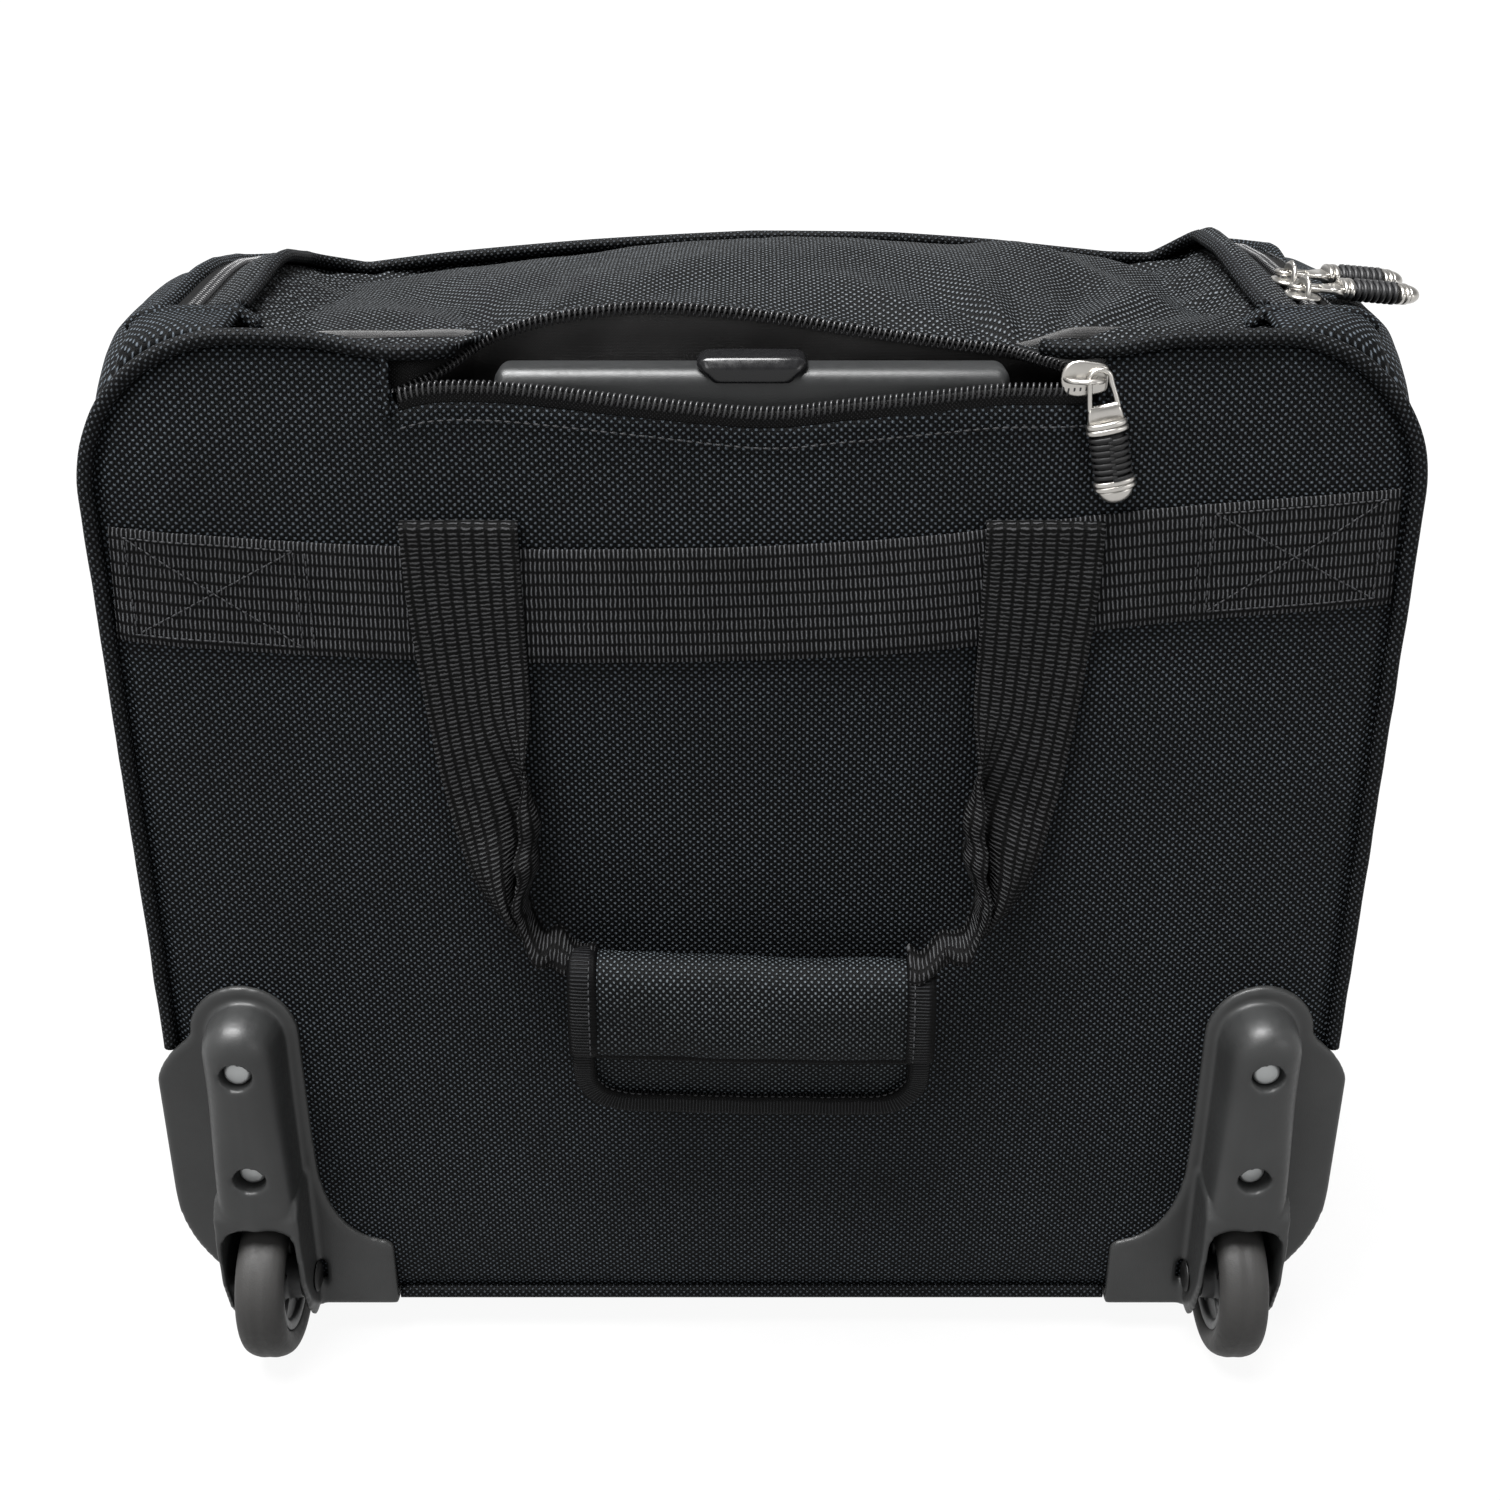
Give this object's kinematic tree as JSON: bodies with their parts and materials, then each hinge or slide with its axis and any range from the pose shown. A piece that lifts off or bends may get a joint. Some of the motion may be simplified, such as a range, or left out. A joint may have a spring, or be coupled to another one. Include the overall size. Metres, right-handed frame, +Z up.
{
  "type": "rolling laptop case",
  "caption": "Soft-sided upright laptop case on rear wheels and front feet, with a telescoping handle in a zipped rear pocket, a zipped lid and webbing carry handles.",
  "frame": {"origin": "on the floor, under the middle of the case's overall box", "axes": "+Z up, -Y towards the side with the wheels and the telescoping handle, +X to the right when that side is faced"},
  "size_m": [0.4526, 0.2344, 0.417],
  "materials": {
    "body_fabric": "charcoal woven nylon, matt",
    "webbing": "charcoal ribbed webbing, matt",
    "lining": "black thin lining cloth",
    "stiffener": "black sheet plastic, matt",
    "moulded_plastic": "dark grey moulded plastic, satin",
    "grip_plastic": "dark grey moulded plastic, satin",
    "button_plastic": "black moulded plastic, satin",
    "tyre_rubber": "dark grey moulded polyurethane",
    "pull_rubber": "black moulded rubber",
    "nickel": "satin nickel plate",
    "steel": "plain steel",
    "tube_aluminium": "anodised, satin"
  },
  "bodies": {
    "case": {"back_panel": "body_fabric", "gusset_shell": "body_fabric", "front_panel": "body_fabric", "piping_back_left": "body_fabric", "piping_back_right": "body_fabric", "piping_back_base": "body_fabric", "piping_front": "body_fabric", "front_pocket": "body_fabric", "back_band": "webbing", "front_band": "webbing", "rear_zip_tape_lower": "webbing", "rear_zip_tape_upper": "webbing", "main_zip_tape_body": "webbing", "bay_lining": "lining", "laptop_sleeve": "lining", "base_board": "stiffener", "wheel_housing_left": "moulded_plastic", "wheel_housing_right": "moulded_plastic", "front_foot_left": "moulded_plastic", "front_foot_right": "moulded_plastic", "handle_collar": "moulded_plastic", "handle_bracket": "moulded_plastic", "wheel_axle_left": "steel", "wheel_axle_right": "steel", "rivet_left_upper": "steel", "rivet_left_lower": "steel", "rivet_right_upper": "steel", "rivet_right_lower": "steel", "tube_outer_left": "tube_aluminium", "tube_outer_right": "tube_aluminium"},
    "lid": {"lid_panel": "body_fabric", "lid_piping": "body_fabric", "main_zip_tape_lid": "webbing"},
    "wheel_left": {"wheel_hub_left": "moulded_plastic", "wheel_tyre_left": "tyre_rubber"},
    "wheel_right": {"wheel_hub_right": "moulded_plastic", "wheel_tyre_right": "tyre_rubber"},
    "handle_mid": {"tube_mid_left": "tube_aluminium", "tube_mid_right": "tube_aluminium"},
    "handle_upper": {"tube_inner_left": "tube_aluminium", "tube_inner_right": "tube_aluminium", "handle_grip": "grip_plastic", "button_spring": "steel"},
    "handle_button": {"handle_button": "button_plastic", "release_frame": "steel"},
    "rear_slider": {"rear_slider": "nickel"},
    "rear_pull": {"rear_pull": "nickel", "rear_pull_sleeve": "pull_rubber"},
    "main_a_slider": {"main_a_slider": "nickel"},
    "main_a_pull": {"main_a_pull": "nickel", "main_a_pull_sleeve": "pull_rubber"},
    "main_b_slider": {"main_b_slider": "nickel"},
    "main_b_pull": {"main_b_pull": "nickel", "main_b_pull_sleeve": "pull_rubber"},
    "front_slider": {"front_slider": "nickel"},
    "front_pull": {"front_pull": "nickel"},
    "rear_handle": {"rear_strap_left": "webbing", "rear_strap_right": "webbing", "grip_wrap": "body_fabric"},
    "front_handle": {"front_handle": "webbing"}
  },
  "joints": [
    {"name": "wheel_left_spin", "type": "hinge", "parent": "case", "child": "wheel_left", "pos_m": [-0.189, -0.086, 0.031], "axis": [1, 0, 0], "continuous": true},
    {"name": "wheel_right_spin", "type": "hinge", "parent": "case", "child": "wheel_right", "pos_m": [0.189, -0.086, 0.031], "axis": [1, 0, 0], "continuous": true},
    {"name": "handle_mid_slide", "type": "slide", "parent": "case", "child": "handle_mid", "axis": [0, 0, 1], "range_m": [0, 0.27]},
    {"name": "handle_upper_slide", "type": "slide", "parent": "handle_mid", "child": "handle_upper", "axis": [0, 0, 1], "range_m": [0, 0.27]},
    {"name": "handle_button_push", "type": "slide", "parent": "handle_upper", "child": "handle_button", "axis": [0, 0, -1], "range_m": [0, 0.0035], "stiffness_N_per_m": 1500, "springref_m": -0.003, "deforming": ["button_spring"]},
    {"name": "lid_hinge", "type": "hinge", "parent": "case", "child": "lid", "pos_m": [0, -0.047, 0.405], "axis": [1, 0, 0], "range_deg": [0, 85]},
    {"name": "rear_slider_slide", "type": "slide", "parent": "case", "child": "rear_slider", "axis": [1, 0, 0], "range_m": [-0.215, 0]},
    {"name": "rear_pull_swing", "type": "hinge", "parent": "rear_slider", "child": "rear_pull", "pos_m": [0.1106, -0.085, 0.388], "axis": [0, -1, 0], "range_deg": [-42, 60]},
    {"name": "main_a_slider_slide", "type": "slide", "parent": "lid", "child": "main_a_slider", "axis": [0, 0.9972, 0.0748], "range_m": [0, 0.03]},
    {"name": "main_a_pull_swing", "type": "hinge", "parent": "main_a_slider", "child": "main_a_pull", "pos_m": [0.18615, -0.0304, 0.40477], "axis": [0.0872, 0, 0.9962], "range_deg": [-30, 0]},
    {"name": "main_b_slider_slide", "type": "slide", "parent": "main_a_slider", "child": "main_b_slider", "axis": [0, 0.9972, 0.0748], "range_m": [0, 0.03]},
    {"name": "main_b_pull_swing", "type": "hinge", "parent": "main_b_slider", "child": "main_b_pull", "pos_m": [0.18615, -0.0124, 0.40657], "axis": [0.0872, 0, 0.9962], "range_deg": [0, 32]},
    {"name": "front_slider_slide", "type": "slide", "parent": "case", "child": "front_slider", "axis": [-1, 0, 0], "range_m": [0, 0.27]},
    {"name": "front_pull_swing", "type": "hinge", "parent": "front_slider", "child": "front_pull", "pos_m": [0.1334, 0.113, 0.154], "axis": [0, 1, 0], "range_deg": [-30, 60]},
    {"name": "rear_handle_swing", "type": "hinge", "parent": "case", "child": "rear_handle", "pos_m": [0, -0.086, 0.3385], "axis": [-1, 0, 0], "range_deg": [0, 140]},
    {"name": "front_handle_swing", "type": "hinge", "parent": "case", "child": "front_handle", "pos_m": [0, 0.111, 0.3385], "axis": [1, 0, 0], "range_deg": [0, 140]}
  ]
}
